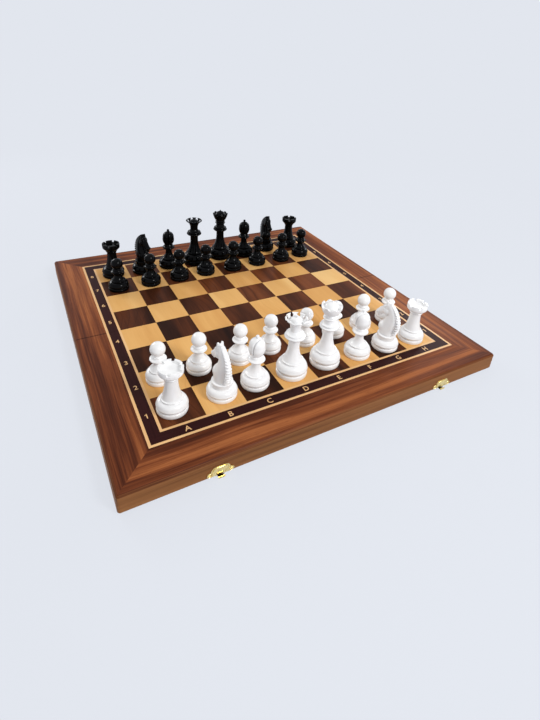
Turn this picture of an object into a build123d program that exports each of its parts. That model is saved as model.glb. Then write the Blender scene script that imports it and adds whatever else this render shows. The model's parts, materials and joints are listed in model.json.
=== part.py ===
from build123d import *

import os
from math import asin, cos, degrees, radians, sin, sqrt

# A folding chess board: two shallow trays hinged on their rims, which close into the box for the men.
#
# The board lies open with its rims on the table. X runs along the ranks, from the a-file to the h-file,
# Y runs up the files, from white to black, and Z is up. The origin is on the table, under the middle of
# the board. The front half is on the -Y side of the seam and the back half on the +Y side. Lengths are in
# millimetres.

os.makedirs("parts", exist_ok=True)

FRONT, BACK = -1, 1

# ---- Playing surface ----
square = 48.0
files = 8
ranks_per_half = 4
string_width = 3.0
band_width = 12.5
border_width = 39.5
veneer = 0.8

# ---- Trays ----
panel_thickness = 2.2
wall_height = 20.0
wall_thickness = 9.0
seam_gap = 0.4
corner_radius = 3.0
rim_radius = 1.5
edge_bevel = 2.3
lining_thickness = 0.5
lining_clearance = 0.3

# ---- Hinges, on the rims across the seam ----
barrel_radius = 1.6
hinge_positions = (-150.0, 150.0)
leaf_length = 40.0
leaf_width = 8.0
leaf_thickness = 1.2
leaf_clearance = 0.1
knuckles = 3
knuckle_gap = 0.2
barrel_clearance = 0.4
pin_radius = 0.8
pin_press = 0.01
pin_running = 0.05
hinge_screw_spacing = 26.0
hinge_screw_inset = 5.0

# ---- Clasps, on the two long outer walls ----
clasp_positions = (-152.0, 152.0)
clasp_names = ("left", "right")
plate_thickness = 0.8
plate_lift = 1.6
arch_half_width = 10.2
arch_rise = 11.6
arch_corner = 5.4
ear_radius = 3.0
ear_offset = 11.4
clasp_radius = 1.9
hook_centre = 0.3
hook_thickness = 0.8
hook_width = 8.0
hook_lip = 1.4
bail_wire = 0.7
bail_clearance = 0.05
bail_rest_gap = 0.1
bail_side_gap = 0.3
bail_height = 5.0
bail_seat_drop = 0.1
knuckle_length = 9.6

# ---- Screws ----
screw_radius = 0.9
screw_head_radius = 1.8
screw_head_depth = 0.7
screw_length = 6.0
screw_clearance = 0.05
slot_width = 0.5
slot_depth = 0.3

# ---- Men: radii and heights, and how tall each foot is ----
king_base, king_height, king_rise = 19.3, 90.0, 1.1
queen_base, queen_height, queen_rise = 19.3, 82.5, 1.1
bishop_base, bishop_height, bishop_rise = 17.3, 68.0, 0.98
knight_base, knight_height, knight_rise = 17.7, 69.0, 0.92
rook_base, rook_height, rook_rise = 17.4, 56.4, 1.02
pawn_base, pawn_height, pawn_rise = 15.5, 51.6, 1.04
merlons = 6
petals = 8
scallops = 8
teeth = 13

# A man's foot and the ring on it, as shares of its base radius: (radius, height, outward bulge)
foot_land = 0.94
foot_outline = (
    (0.975, 0.04, 0.0),
    (0.975, 0.27, 0.02),
    (0.905, 0.315, 0.0),
    (0.905, 0.335, 0.0),
    (0.975, 0.40, 0.0),
    (0.965, 0.58, 0.03),
    (0.74, 0.84, 0.045),
)
ring_outline = (
    (0.66, 0.88, 0.0),
    (0.70, 0.91, 0.0),
    (0.69, 0.99, 0.02),
    (0.63, 1.0, 0.0),
)
STEM = "stem"

# How far some of the men stand from the middle of their squares
stray = {
    "white_rook_a": (-5.7, -0.2),
    "white_knight_b": (3.3, -1.1),
    "white_bishop_c": (-2.2, 0.0),
    "white_queen": (-1.0, -0.8),
    "white_king": (0.5, 0.0),
    "white_bishop_f": (1.9, -3.3),
    "white_knight_g": (0.0, -5.0),
    "white_rook_h": (-1.6, -6.0),
    "white_pawn_a": (-5.0, 4.0),
    "white_pawn_b": (-4.5, 3.0),
    "white_pawn_d": (-3.0, 4.5),
    "black_rook_a": (0.0, -4.0),
    "black_knight_b": (0.0, -6.0),
    "black_bishop_c": (-2.0, -3.0),
    "black_queen": (-4.0, -3.0),
    "black_king": (-1.6, 1.0),
    "black_bishop_f": (-4.0, -4.0),
    "black_knight_g": (-2.9, 4.0),
    "black_rook_h": (1.0, 4.5),
    "black_pawn_a": (-1.7, -4.5),
    "black_pawn_b": (0.5, -5.5),
    "black_pawn_c": (0.0, -5.5),
    "black_pawn_d": (-0.9, -2.4),
    "black_pawn_e": (0.7, -4.5),
    "black_pawn_f": (2.4, 0.0),
    "black_pawn_g": (3.5, -1.3),
    "black_pawn_h": (-0.7, 3.6),
}

# How far knights and bishops are turned from looking straight across the board
facing = {
    "white_knight_b": 6.0,
    "white_knight_g": 12.0,
    "black_knight_b": 22.0,
    "white_bishop_c": 16.0,
    "white_bishop_f": -19.0,
    "black_bishop_c": -126.0,
    "black_bishop_f": -141.0,
}

# ---- Worked out ----
rim_z = barrel_radius
panel_z = rim_z + wall_height
veneer_z = panel_z + panel_thickness
top_z = veneer_z + veneer
seam_face = seam_gap / 2
playing_half = files * square / 2
string_reach = playing_half + string_width
band_reach = string_reach + band_width
border_inner = band_reach + string_width
half_width = border_inner + border_width
bail_reach = bail_height + hook_centre - bail_seat_drop
bail_rest_angle = asin((clasp_radius - plate_thickness - bail_wire - bail_rest_gap) / bail_reach)
bail_half_span = knuckle_length / 2 + bail_side_gap + bail_wire


def save(shapes, name):
    """Writes one solid, or a group of separate solids, as one STEP file."""
    node = shapes[0] if len(shapes) == 1 else Compound(children=list(shapes))
    node.label = name
    export_step(node, f"parts/{name}.step")


# ---------------------------------------------------------------- trays


def tray_block(side, low, high):
    """The outline of one half, with its two outer corners rounded, from one height to another."""
    with BuildPart() as block:
        with BuildSketch(Plane.XY.offset(low)) as outline:
            with Locations((0, side * (seam_face + half_width) / 2)):
                Rectangle(2 * half_width, half_width - seam_face)
            fillet(outline.vertices().group_by(Axis.Y)[0 if side == FRONT else -1], corner_radius)
        extrude(amount=high - low)
    return block.part


def outer_edges(part, height):
    """The edges of a half at one height, apart from the one along the seam."""
    level = part.edges().filter_by_position(Axis.Z, height, height)
    return [edge for edge in level if abs(edge.center().Y) > wall_thickness]


def plan_prism(side, corners, low, high):
    """An upright block over a polygon given as (x, distance from the seam)."""
    with BuildPart() as prism:
        with BuildSketch(Plane.XY.offset(low)):
            with BuildLine():
                Polyline(*[(x, side * away) for x, away in corners], close=True)
            make_face()
        extrude(amount=high - low)
    return prism.part


def mitred_plans(outer, inner):
    """Left, outer and right strips between two U-shaped outlines, mitred at the corners."""
    left = ((-outer, seam_face), (-outer, outer), (-inner, inner), (-inner, seam_face))
    far = ((-outer, outer), (outer, outer), (inner, inner), (-inner, inner))
    right = tuple((-x, away) for x, away in left)
    return left, far, right


def wall_boards(side):
    """Four mitred boards: two ends, the outer wall, and the hinge wall with its mortises and grooves."""
    inner = half_width - wall_thickness
    hinge_face = seam_face + wall_thickness
    with BuildPart() as ring:
        add(tray_block(side, rim_z, panel_z))
        fillet(outer_edges(ring.part, rim_z), rim_radius)
        with Locations((0, side * (hinge_face + inner) / 2, rim_z)):
            Box(2 * inner, inner - hinge_face, wall_height, align=(Align.CENTER, Align.CENTER, Align.MIN),
                mode=Mode.SUBTRACT)
        for x in hinge_positions:
            mortise = leaf_width + leaf_clearance
            with Locations((x, side * mortise / 2, rim_z)):
                Box(leaf_length + 2 * leaf_clearance, mortise, leaf_thickness + leaf_clearance,
                    align=(Align.CENTER, Align.CENTER, Align.MIN), mode=Mode.SUBTRACT)
            with Locations((x, 0, rim_z)):
                Cylinder(barrel_radius + barrel_clearance, leaf_length + 2 * leaf_clearance,
                         rotation=(0, 90, 0), mode=Mode.SUBTRACT)
        for place in hinge_screw_places(side) + clasp_screw_places(side):
            with Locations(place):
                depth = screw_length + screw_clearance
                Cylinder(screw_radius + screw_clearance, 2 * depth, mode=Mode.SUBTRACT)
    outline = mitred_plans(half_width, inner)
    left = (outline[0][0], outline[0][1], outline[0][2], (-inner, hinge_face))
    right = tuple((-x, away) for x, away in left)
    hinge = ((-half_width, seam_face), (-inner, hinge_face), (inner, hinge_face), (half_width, seam_face))
    boards = []
    for plan in (left, outline[1], right, hinge):
        with BuildPart() as board:
            add(ring.part)
            add(plan_prism(side, plan, rim_z, panel_z), mode=Mode.INTERSECT)
        boards.append(board.part.solids()[0])
    return boards


def top_slab(side):
    """The bevelled top of one half, panel and veneers together."""
    with BuildPart() as slab:
        add(tray_block(side, panel_z, top_z))
        chamfer(outer_edges(slab.part, top_z), edge_bevel)
    return slab.part


def panel(side):
    with BuildPart() as board:
        add(top_slab(side))
        add(tray_block(side, veneer_z, top_z), mode=Mode.SUBTRACT)
    return board.part.solids()


def veneer_strips(side, outer, inner):
    """Three mitred strips of veneer round the playing surface, cut from the top slab."""
    strips = []
    for plan in mitred_plans(outer, inner):
        with BuildPart() as strip:
            add(top_slab(side))
            add(plan_prism(side, plan, veneer_z, top_z), mode=Mode.INTERSECT)
        strips.append(strip.part.solids()[0])
    return strips


def squares(side, parity):
    """The squares of one colour on one half. Square a1, at parity 0, is dark."""
    shapes = []
    for file in range(files):
        for row in range(ranks_per_half):
            rank = ranks_per_half + row if side == BACK else ranks_per_half - 1 - row
            if (file + rank) % 2 != parity:
                continue
            near = max(row * square, seam_face)
            far = (row + 1) * square
            with BuildPart() as tile:
                with Locations(((file + 0.5) * square - playing_half, side * (near + far) / 2, veneer_z)):
                    Box(square, far - near, veneer, align=(Align.CENTER, Align.CENTER, Align.MIN))
            shapes.append(tile.part.solids()[0])
    return shapes


def lining(side):
    """Felt glued under the panel, inside the walls."""
    inner = half_width - wall_thickness - lining_clearance
    near = seam_face + wall_thickness + lining_clearance
    with BuildPart() as felt:
        with Locations((0, side * (near + inner) / 2, panel_z)):
            Box(2 * inner, inner - near, lining_thickness, align=(Align.CENTER, Align.CENTER, Align.MAX))
    return felt.part.solids()


# ---------------------------------------------------------------- hinges


def hinge_screw_places(side):
    """Screw planes on the leaves, each facing down out of its leaf."""
    return [
        Plane((x + end * hinge_screw_spacing / 2, side * hinge_screw_inset, rim_z),
              x_dir=(1, 0, 0), z_dir=(0, 0, -1))
        for x in hinge_positions
        for end in (-1, 1)
    ]


def screw_seat():
    """The countersunk hole for a screw, cut into the part whose face the current location faces."""
    CounterSinkHole(screw_radius + screw_clearance, screw_head_radius + screw_clearance)


def hinge_leaves(side):
    """A leaf for each hinge. The front leaves carry the end knuckles and the back leaves the middle one."""
    knuckle = (leaf_length - (knuckles - 1) * knuckle_gap) / knuckles
    pitch = knuckle + knuckle_gap
    own = [n for n in range(knuckles) if (n % 2 == 0) == (side == FRONT)]
    bore = pin_radius + (pin_press if side == FRONT else pin_running)
    leaves = []
    for x in hinge_positions:
        with BuildPart() as leaf:
            with Locations((x, side * (leaf_width + barrel_radius / 2) / 2, rim_z)):
                Box(leaf_length, leaf_width - barrel_radius / 2, leaf_thickness,
                    align=(Align.CENTER, Align.CENTER, Align.MIN))
            for n in range(knuckles):
                place = (x + (n - (knuckles - 1) / 2) * pitch, 0, rim_z)
                if n in own:
                    with Locations(place):
                        Cylinder(barrel_radius, knuckle, rotation=(0, 90, 0))
                else:
                    with Locations(place):
                        Box(knuckle + 2 * knuckle_gap,
                            2 * (barrel_radius + barrel_clearance), 4 * leaf_thickness,
                            mode=Mode.SUBTRACT)
            with Locations((x, 0, rim_z)):
                Cylinder(bore, leaf_length, rotation=(0, 90, 0), mode=Mode.SUBTRACT)
            for place in hinge_screw_places(side):
                if abs(place.origin.X - x) < leaf_length / 2:
                    with Locations(place):
                        screw_seat()
        leaves.append(leaf.part.solids()[0])
    return leaves


def hinge_pins():
    pins = []
    for x in hinge_positions:
        with BuildPart() as pin:
            with Locations((x, 0, rim_z)):
                Cylinder(pin_radius, leaf_length, rotation=(0, 90, 0))
        pins.append(pin.part.solids()[0])
    return pins


def screws(places):
    """Slotted countersunk wood screws, each with its head flush with the plane that it is given."""
    shapes = []
    for place in places:
        with BuildPart(place) as screw:
            with Locations((0, 0, -screw_head_depth)):
                Cone(screw_radius, screw_head_radius, screw_head_depth,
                     align=(Align.CENTER, Align.CENTER, Align.MIN))
                Cylinder(screw_radius, screw_length - screw_head_depth,
                         align=(Align.CENTER, Align.CENTER, Align.MAX))
            Box(2 * screw_head_radius, slot_width, 2 * slot_depth, mode=Mode.SUBTRACT)
        shapes.append(screw.part.solids()[0])
    return shapes


# ---------------------------------------------------------------- clasps


def wall_plane(side, x, lift=0.0):
    """A plane on the outer wall: X along the wall, Y up from the rim, Z out of the wall."""
    return Plane((x, side * half_width, rim_z + lift), x_dir=(-side, 0, 0), z_dir=(0, side, 0))


def section_plane(side, x):
    """A plane across the wall: local X out of the wall, local Y up from the rim."""
    return Plane((x, side * half_width, rim_z), x_dir=(0, side, 0), z_dir=(side, 0, 0))


def clasp_screw_places(side):
    """Screw planes on the ears, each facing out of its plate."""
    places = []
    for x in clasp_positions:
        for end in (-1, 1):
            plane = wall_plane(side, x + end * ear_offset, plate_lift + ear_radius)
            places.append(plane.offset(plate_thickness))
    return places


def arched_plate(side, x):
    """A flat-topped arched plate with a screw ear at each end."""
    with BuildPart() as plate:
        with BuildSketch(wall_plane(side, x, plate_lift)):
            with Locations((0, arch_rise / 2)):
                RectangleRounded(2 * arch_half_width, arch_rise, arch_corner)
            Rectangle(2 * ear_offset, 2 * ear_radius, align=(Align.CENTER, Align.MIN))
            with Locations((-ear_offset, ear_radius), (ear_offset, ear_radius)):
                Circle(ear_radius)
        extrude(amount=plate_thickness)
        for place in clasp_screw_places(side):
            if abs(place.origin.X - x) < 2 * arch_half_width:
                with Locations(place):
                    screw_seat()
    return plate.part


def catch_plates():
    """Front plates, each with a rounded tongue curled out and up at the rim for the bail to hold."""
    plates = []
    for x in clasp_positions:
        with BuildPart() as tongue:
            with BuildSketch(section_plane(FRONT, x)):
                with Locations((clasp_radius, hook_centre)):
                    Circle(clasp_radius)
                    Circle(clasp_radius - hook_thickness, mode=Mode.SUBTRACT)
                    Rectangle(2 * clasp_radius, clasp_radius,
                              align=(Align.CENTER, Align.MIN), mode=Mode.SUBTRACT)
                with Locations((0, hook_centre)):
                    Rectangle(hook_thickness, plate_lift + ear_radius - hook_centre,
                              align=(Align.MIN, Align.MIN))
                with Locations((2 * clasp_radius, hook_centre)):
                    Rectangle(hook_thickness, hook_lip, align=(Align.MAX, Align.MIN))
            extrude(amount=hook_width / 2, both=True)
            with BuildSketch(wall_plane(FRONT, x)):
                with Locations((0, hook_centre - clasp_radius + hook_width / 2)):
                    Circle(hook_width / 2)
                    Rectangle(hook_width, 2 * arch_rise, align=(Align.CENTER, Align.MIN))
            extrude(amount=3 * clasp_radius, mode=Mode.INTERSECT)
        with BuildPart() as catch:
            add(arched_plate(FRONT, x))
            add(tongue.part)
        plates.append(catch.part.solids()[0])
    return plates


def hasp_plates():
    """Back plates, each with a knuckle that carries its bail."""
    plates = []
    for x in clasp_positions:
        with BuildPart() as hasp:
            add(arched_plate(BACK, x))
            with BuildSketch(section_plane(BACK, x)):
                with Locations((clasp_radius, bail_height)):
                    Circle(clasp_radius)
                    Rectangle(clasp_radius, 2 * clasp_radius, align=(Align.MAX, Align.CENTER))
            extrude(amount=knuckle_length / 2, both=True)
            with BuildSketch(section_plane(BACK, x)):
                with Locations((clasp_radius, bail_height)):
                    Circle(bail_wire + bail_clearance)
            extrude(amount=knuckle_length / 2, both=True, mode=Mode.SUBTRACT)
        plates.append(hasp.part.solids()[0])
    return plates


def bail(x):
    """A closed loop of wire through the knuckle. It rests on its plate and swings down over the hook."""
    pivot_y, pivot_z = half_width + clasp_radius, rim_z + bail_height
    bar_y = pivot_y - bail_reach * sin(bail_rest_angle)
    bar_z = pivot_z + bail_reach * cos(bail_rest_angle)
    tilt = degrees(bail_rest_angle)
    with BuildPart() as loop:
        with Locations((x, pivot_y, pivot_z), (x, bar_y, bar_z)):
            Cylinder(bail_wire, 2 * bail_half_span, rotation=(0, 90, 0))
        for end in (-1, 1):
            side_x = x + end * bail_half_span
            with Locations((side_x, pivot_y, pivot_z), (side_x, bar_y, bar_z)):
                Sphere(bail_wire)
            with Locations(Location((side_x, (pivot_y + bar_y) / 2, (pivot_z + bar_z) / 2), (tilt, 0, 0))):
                Cylinder(bail_wire, bail_reach)
    return loop.part.solids()


# ---------------------------------------------------------------- men


def upright_sagitta(narrowing, rise):
    """The height of a hollow arc over its chord, where the arc narrows by so much and ends upright."""
    chord = sqrt(narrowing**2 + rise**2)
    radius = chord**2 / (2 * narrowing)
    return radius - sqrt(radius**2 - (chord / 2) ** 2)


def turned(base, rise, outline):
    """Revolves a man from its foot and the rest of its outline: (radius, height, outward bulge)."""
    foot = [(r * base, z * base * rise, bulge * base) for r, z, bulge in foot_outline]
    with BuildPart() as man:
        with BuildSketch(Plane.XZ):
            with BuildLine():
                Line((0, 0), (foot_land * base, 0))
                here = (foot_land * base, 0)
                for r, z, bulge in foot + list(outline):
                    there = (r, z)
                    if bulge == STEM:
                        SagittaArc(here, there, upright_sagitta(here[0] - r, z - here[1]))
                    elif bulge == 0:
                        Line(here, there)
                    else:
                        SagittaArc(here, there, -bulge)
                    here = there
                Line(here, (0, 0))
            make_face()
        revolve(axis=Axis.Z)
    return man.part


def foot_ring(base, rise):
    """The ring on top of the foot, under the stem."""
    return [(r * base, z * base * rise, bulge * base) for r, z, bulge in ring_outline]


def ball(start, centre, radius):
    """The two arcs of a ball that starts at a given radius, as outline entries."""
    low = centre - sqrt(radius**2 - start**2)
    first = sqrt((radius - start) ** 2 + (centre - low) ** 2)
    second = sqrt(2) * radius
    return [
        (start, low, 0.0),
        (radius, centre, radius - sqrt(radius**2 - (first / 2) ** 2)),
        (0.0, centre + radius, radius - sqrt(radius**2 - (second / 2) ** 2)),
    ]


def collar(neck, reach, height, above):
    """A sharp-edged disc round the stem, with a bead on top of it."""
    return [
        (neck, height - 4.2, 0.0),
        (reach, height - 0.7, 0.5),
        (reach, height + 0.7, 0.3),
        (0.68 * reach, height + 2.8, -0.5),
        (0.72 * reach, height + 4.2, 0.4),
        (above, height + 5.4, 0.0),
    ]


def double_collar(neck, reach, height, above):
    """Two discs, the upper one smaller, with a hollow shoulder over them."""
    return [
        (neck, height - 3.8, 0.0),
        (reach, height - 0.8, 0.5),
        (reach, height + 0.7, 0.3),
        (0.82 * reach, height + 1.9, -0.1),
        (0.90 * reach, height + 2.5, 0.1),
        (0.88 * reach, height + 3.8, 0.2),
        (0.64 * reach, height + 5.4, -0.4),
        (above, height + 7.6, 0.0),
    ]


def pawn():
    neck, collar_reach, collar_height, head = 5.3, 9.5, 29.9, 8.9
    stem = [(neck, 25.5, STEM)] + collar(neck, collar_reach, collar_height, neck)
    outline = foot_ring(pawn_base, pawn_rise) + stem + ball(neck, pawn_height - head, head)
    return turned(pawn_base, pawn_rise, outline)


def rook():
    waist, neck_ring, turret, cup = 7.2, 8.5, 13.4, 10.4
    head, rim, cup_depth = 42.8, rook_height, 2.4
    notch, notch_depth, first_notch = 3.0, 3.0, 2.0
    outline = foot_ring(rook_base, rook_rise) + [
        (waist, head - 3.0, STEM),
        (waist, head, 0.0),
        (neck_ring, head + 0.6, 0.2),
        (neck_ring - 0.2, head + 1.6, 0.3),
        (neck_ring - 0.6, head + 2.0, 0.0),
        (turret - 0.7, head + 6.4, 0.3),
        (turret, head + 8.0, 0.2),
        (turret, rim, 0.0),
        (cup, rim, 0.0),
        (cup - 1.4, rim - cup_depth, -0.3),
        (0.0, rim - cup_depth - 1.0, 0.0),
    ]
    with BuildPart() as man:
        add(turned(rook_base, rook_rise, outline))
        with Locations((0, 0, rim)):
            with PolarLocations((turret + cup) / 2, merlons, start_angle=first_notch):
                Box(turret, notch, 2 * notch_depth, mode=Mode.SUBTRACT)
    return man.part


def bishop():
    """A bishop. The upright slot in front of its knob is cut down to a smaller core."""
    waist, collar_reach, collar_height, mitre, widest = 5.3, 10.0, 35.6, 9.4, 53.4
    knob, slot, slot_from_middle, slot_foot, core = 2.2, 2.2, 3.4, 46.0, 6.6
    crown = bishop_height - 1.9 * knob
    outline = foot_ring(bishop_base, bishop_rise) + [(waist, 28.0, STEM)]
    outline += collar(waist, collar_reach, collar_height, waist + 1.0)
    outline += [(mitre, widest, 1.5), (knob - 0.7, crown, 2.6)]
    outline += ball(knob - 0.7, bishop_height - knob, knob)
    with BuildPart() as man:
        add(turned(bishop_base, bishop_rise, outline))
        with Locations((0, -slot_from_middle, slot_foot)):
            upwards = (Align.CENTER, Align.CENTER, Align.MIN)
            Box(3 * mitre, slot, bishop_height, align=upwards, mode=Mode.SUBTRACT)
        with BuildSketch(Plane.XZ):
            with BuildLine():
                Line((0, slot_foot - 2.0), (core - 2.2, slot_foot - 2.0))
                SagittaArc((core - 2.2, slot_foot - 2.0), (core, widest), -0.9)
                SagittaArc((core, widest), (0, crown - 3.0), -2.4)
                Line((0, crown - 3.0), (0, slot_foot - 2.0))
            make_face()
        revolve(axis=Axis.Z)
    return man.part


def queen():
    waist, collar_reach, collar_height, neck = 6.6, 12.3, 54.4, 6.5
    crown, crown_height, notch, finial = 13.4, 77.2, 2.2, 1.6
    well, well_depth = 9.4, 2.6
    outline = foot_ring(queen_base, queen_rise) + [(waist, 42.0, STEM)]
    outline += double_collar(waist, collar_reach, collar_height, neck)
    outline += [
        (neck, 66.6, 0.0),
        (crown, crown_height, -1.5),
        (crown - 0.4, crown_height + 1.3, 0.3),
        (crown - 2.0, crown_height + 1.2, 0.0),
        (well, crown_height - well_depth, -0.4),
        (finial, queen_height - 2 * finial, 1.6),
    ]
    outline += ball(0.8 * finial, queen_height - finial, finial)
    with BuildPart() as man:
        add(turned(queen_base, queen_rise, outline))
        with Locations((0, 0, crown_height - well_depth + notch + 0.3)):
            with PolarLocations(crown, petals):
                Cylinder(notch, 2 * (crown - well), rotation=(0, 90, 0), mode=Mode.SUBTRACT)
    return man.part


def king():
    waist, collar_reach, collar_height, neck = 6.6, 11.8, 54.6, 6.6
    bowl, crown, crown_height, notch, point = 7.6, 12.4, 83.0, 3.2, 1.1
    well, well_depth = 9.2, 1.4
    outline = foot_ring(king_base, king_rise) + [(waist, 43.0, STEM)]
    outline += double_collar(waist, collar_reach, collar_height, neck + 0.6)
    outline += [
        (neck, 65.8, 0.0),
        (bowl, 66.6, 0.2),
        (bowl, 67.8, 0.2),
        (neck, 68.6, 0.0),
        (bowl, 70.2, -0.2),
        (crown, crown_height, 0.9),
        (crown - 0.4, crown_height + 1.6, 0.3),
        (crown - 2.0, crown_height + 1.4, 0.0),
        (well, crown_height - well_depth, -0.3),
        (point + 1.0, king_height - 2.2 * point, 1.4),
    ]
    outline += ball(0.9 * point, king_height - point, point)
    with BuildPart() as man:
        add(turned(king_base, king_rise, outline))
        with Locations((0, 0, crown_height - well_depth + notch + 0.3)):
            with PolarLocations(crown, scallops):
                Cylinder(notch, 2 * (crown - well), rotation=(0, 90, 0), mode=Mode.SUBTRACT)
    return man.part


# A knight's neck and head, as slices: (middle y, middle z, half of its depth, half of its width, lean).
# They are drawn for a man of this height, and grow with the real one.
drawn_height = 69.0
neck_slices = (
    (-0.2, 20.6, 11.6, 9.8, 0.0),
    (1.0, 27.0, 12.0, 9.2, 0.0),
    (0.4, 32.5, 12.6, 8.6, 0.0),
    (-1.9, 38.0, 11.2, 7.6, 0.0),
    (-3.7, 44.0, 9.3, 6.6, 0.0),
    (-3.9, 50.0, 7.8, 5.8, 0.0),
    (-1.6, 56.0, 7.2, 5.2, 0.0),
    (1.4, 61.0, 6.0, 4.8, 0.0),
    (3.0, 64.5, 4.4, 4.2, 0.0),
)
head_slices = (
    (1.6, 60.4, 4.6, 4.2, 47.0),
    (6.5, 56.0, 6.6, 5.6, 47.0),
    (11.5, 51.3, 5.6, 5.0, 47.0),
    (15.6, 47.4, 4.5, 4.3, 47.0),
    (18.4, 44.9, 4.3, 4.2, 47.0),
    (19.8, 43.6, 3.0, 3.2, 47.0),
)


def sliced(slices, tall):
    """A smooth body through oval slices, which stand across the long axis of a neck or a head."""
    with BuildPart() as body:
        for y, z, depth, width, lean in slices:
            along, across = cos(radians(lean)), sin(radians(lean))
            with BuildSketch(Plane((0, y, z * tall), x_dir=(0, along, across), z_dir=(0, across, -along))):
                Ellipse(width, depth, rotation=90)
        loft()
    return body.part


def knight():
    """A horse's head and neck on a round plinth, looking along +Y."""
    tall = knight_height / drawn_height
    plinth, plinth_low, plinth_top = 12.3, 0.765 * knight_base, 21.0 * tall
    ear, ear_height, ear_apart, ear_forward = 1.7, 5.0 * tall, 2.1, 3.6
    mane, tooth_depth = 3.0, 0.9
    nape, nape_root = (1.0, 60.0 * tall), (-4.0, plinth_top)
    back = ((0.0, 66.0), (-5.4, 62.4), (-9.8, 57.6), (-13.0, 51.5), (-15.4, 44.0), (-15.8, 36.0),
            (-14.4, 28.0))
    outline = [
        (plinth - 0.5, plinth_low + 0.4, 0.0),
        (plinth, plinth_top - 1.2, -0.2),
        (plinth - 0.5, plinth_top, 0.2),
        (0.0, plinth_top, 0.0),
    ]
    with BuildPart() as crest:
        with BuildSketch(Plane((0, 0, 0), x_dir=(0, 1, 0), z_dir=(1, 0, 0))):
            with BuildLine():
                crown_to_withers = [(y, z * tall) for y, z in back]
                ridge = Spline(*crown_to_withers, (1.0 - plinth, plinth_top), mode=Mode.PRIVATE)
                saw = [ridge @ 0]
                for tooth in range(teeth):
                    tip, root = ridge @ ((tooth + 0.5) / teeth), ridge @ ((tooth + 1) / teeth)
                    saw += [tip - (tooth_depth, 0), root]
                Polyline(nape, *saw, nape_root, close=True)
            make_face()
        extrude(amount=mane, both=True)
    with BuildPart() as man:
        add(turned(knight_base, knight_rise, outline))
        add(sliced(neck_slices, tall))
        add(sliced(head_slices, tall))
        add(crest.part)
        with Locations(*((x, ear_forward, knight_height - ear_height) for x in (-ear_apart, ear_apart))):
            Cone(ear, 0.4 * ear, ear_height, align=(Align.CENTER, Align.CENTER, Align.MIN))
    return man.part


back_rank = (
    ("rook_a", rook, 0),
    ("knight_b", knight, 1),
    ("bishop_c", bishop, 2),
    ("queen", queen, 3),
    ("king", king, 4),
    ("bishop_f", bishop, 5),
    ("knight_g", knight, 6),
    ("rook_h", rook, 7),
)


def save_men():
    """Stands the thirty-two men on their squares. The black men are turned to face the white ones."""
    shapes = {make: make() for _, make, _ in back_rank}
    pawn_shape = pawn()
    for colour, side in (("white", FRONT), ("black", BACK)):
        men = [(name, shapes[make], file, ranks_per_half - 0.5) for name, make, file in back_rank]
        pawns_away = ranks_per_half - 1.5
        men += [("pawn_" + "abcdefgh"[file], pawn_shape, file, pawns_away) for file in range(files)]
        for name, shape, file, away in men:
            label = f"{colour}_{name}"
            off_x, off_y = stray.get(label, (0.0, 0.0))
            turn = facing.get(label, 0.0) + (180 if side == BACK else 0)
            place = ((file + 0.5) * square - playing_half + off_x, side * away * square + off_y, top_z)
            with BuildPart() as man:
                with Locations(Location(place, (0, 0, turn))):
                    add(shape)
            save(man.part.solids(), label)


for side, half in ((FRONT, "front"), (BACK, "back")):
    save(wall_boards(side), f"{half}_walls")
    save(panel(side), f"{half}_panel")
    save(veneer_strips(side, half_width, border_inner), f"{half}_border")
    save(veneer_strips(side, border_inner, band_reach) + veneer_strips(side, string_reach, playing_half),
         f"{half}_stringing")
    save(veneer_strips(side, band_reach, string_reach), f"{half}_band")
    save(squares(side, 0), f"{half}_dark_squares")
    save(squares(side, 1), f"{half}_light_squares")
    save(lining(side), f"{half}_lining")
    save(hinge_leaves(side), f"{half}_hinge_leaves")
    save(screws(hinge_screw_places(side)), f"{half}_hinge_screws")
save(hinge_pins(), "hinge_pins")
save(catch_plates(), "catch_plates")
save(screws(clasp_screw_places(FRONT)), "catch_screws")
save(hasp_plates(), "hasp_plates")
save(screws(clasp_screw_places(BACK)), "hasp_screws")
for name, x in zip(clasp_names, clasp_positions):
    save(bail(x), f"{name}_bail")
save_men()
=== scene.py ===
"""Finishes the folding chess board: lettering, men, catches, inlaid woods, brass and light.

Lengths in the tables are millimetres, made metres as each piece is put in place. The materials,
the lamps and the camera are in metres.
"""

import json
from math import atan2, degrees, pi, radians

import bmesh
import bpy
from mathutils import Euler, Matrix, Vector
from mathutils.geometry import interpolate_bezier


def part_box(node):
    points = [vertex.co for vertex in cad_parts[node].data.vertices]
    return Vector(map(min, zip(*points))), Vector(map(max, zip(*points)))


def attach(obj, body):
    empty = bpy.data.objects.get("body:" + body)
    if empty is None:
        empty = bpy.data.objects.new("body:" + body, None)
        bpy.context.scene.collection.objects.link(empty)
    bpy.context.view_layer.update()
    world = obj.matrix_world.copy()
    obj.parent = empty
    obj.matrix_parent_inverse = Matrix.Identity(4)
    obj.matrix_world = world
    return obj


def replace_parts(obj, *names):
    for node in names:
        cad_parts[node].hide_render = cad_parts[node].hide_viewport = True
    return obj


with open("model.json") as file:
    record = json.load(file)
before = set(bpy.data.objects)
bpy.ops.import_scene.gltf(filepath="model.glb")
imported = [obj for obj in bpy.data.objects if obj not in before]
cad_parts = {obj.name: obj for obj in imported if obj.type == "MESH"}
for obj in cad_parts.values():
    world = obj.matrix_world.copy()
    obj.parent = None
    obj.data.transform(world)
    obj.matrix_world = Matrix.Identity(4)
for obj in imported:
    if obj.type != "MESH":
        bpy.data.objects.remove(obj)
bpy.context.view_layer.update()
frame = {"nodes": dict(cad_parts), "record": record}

MM = 0.001
SQUARE = 48.0
FILES = 8
STRINGING, BAND = 3.0, 12.5
HALF_BOARD = FILES * SQUARE / 2
BAND_MIDDLE = HALF_BOARD + STRINGING + BAND / 2
BOARD_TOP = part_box("front_light_squares")[1][2] / MM
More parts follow.
